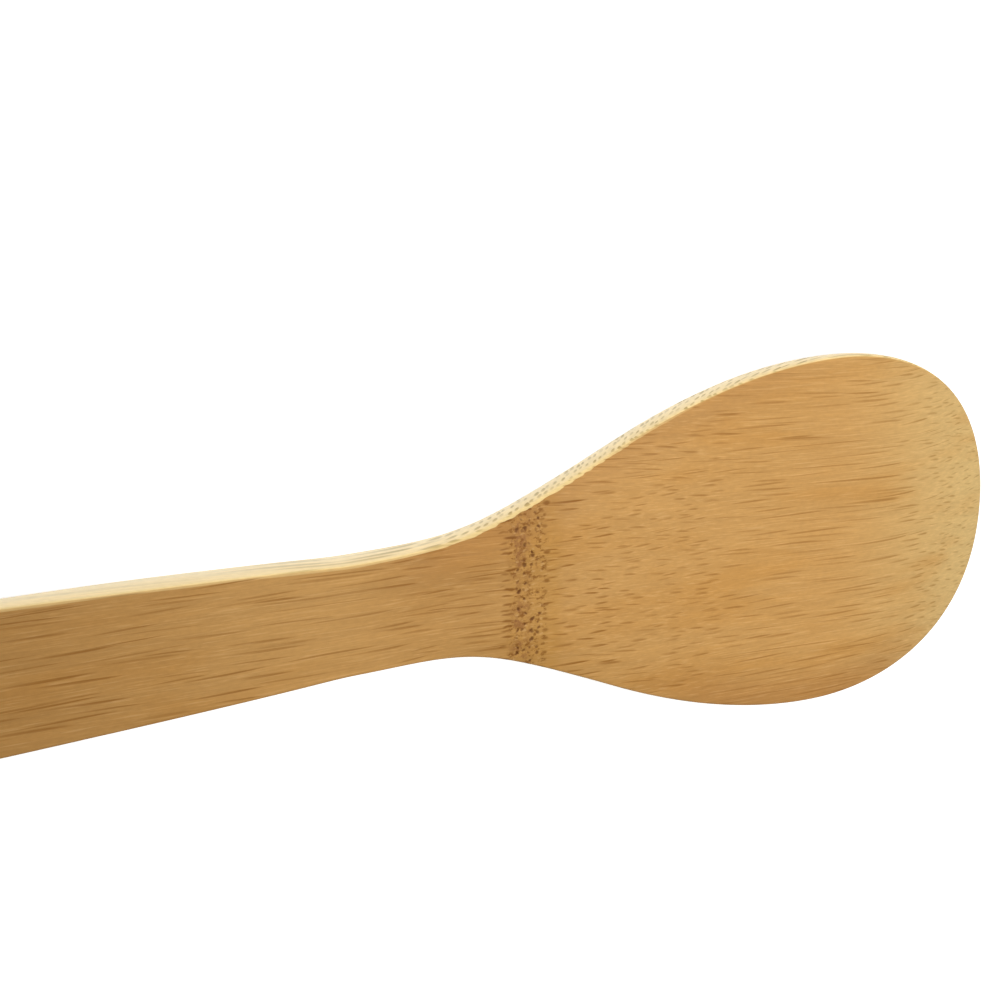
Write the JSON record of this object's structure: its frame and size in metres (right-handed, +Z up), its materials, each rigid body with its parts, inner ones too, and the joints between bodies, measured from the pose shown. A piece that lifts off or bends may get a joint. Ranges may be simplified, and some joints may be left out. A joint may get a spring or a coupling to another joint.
{
  "type": "rice paddle",
  "caption": "Flat serving paddle of one piece of bamboo, with a broad rounded blade, a narrow neck and a tapering handle.",
  "frame": {"origin": "middle of the length and width, on the surface that the paddle lies on, face up", "axes": "+X along the paddle toward the blade's tip, +Y across it, +Z up out of the face"},
  "size_m": [0.2, 0.062, 0.0055],
  "materials": {
    "bamboo": "sanded bamboo, satin, fine brown fibre lines along the length"
  },
  "bodies": {
    "root": {"paddle": "bamboo"}
  },
  "joints": []
}
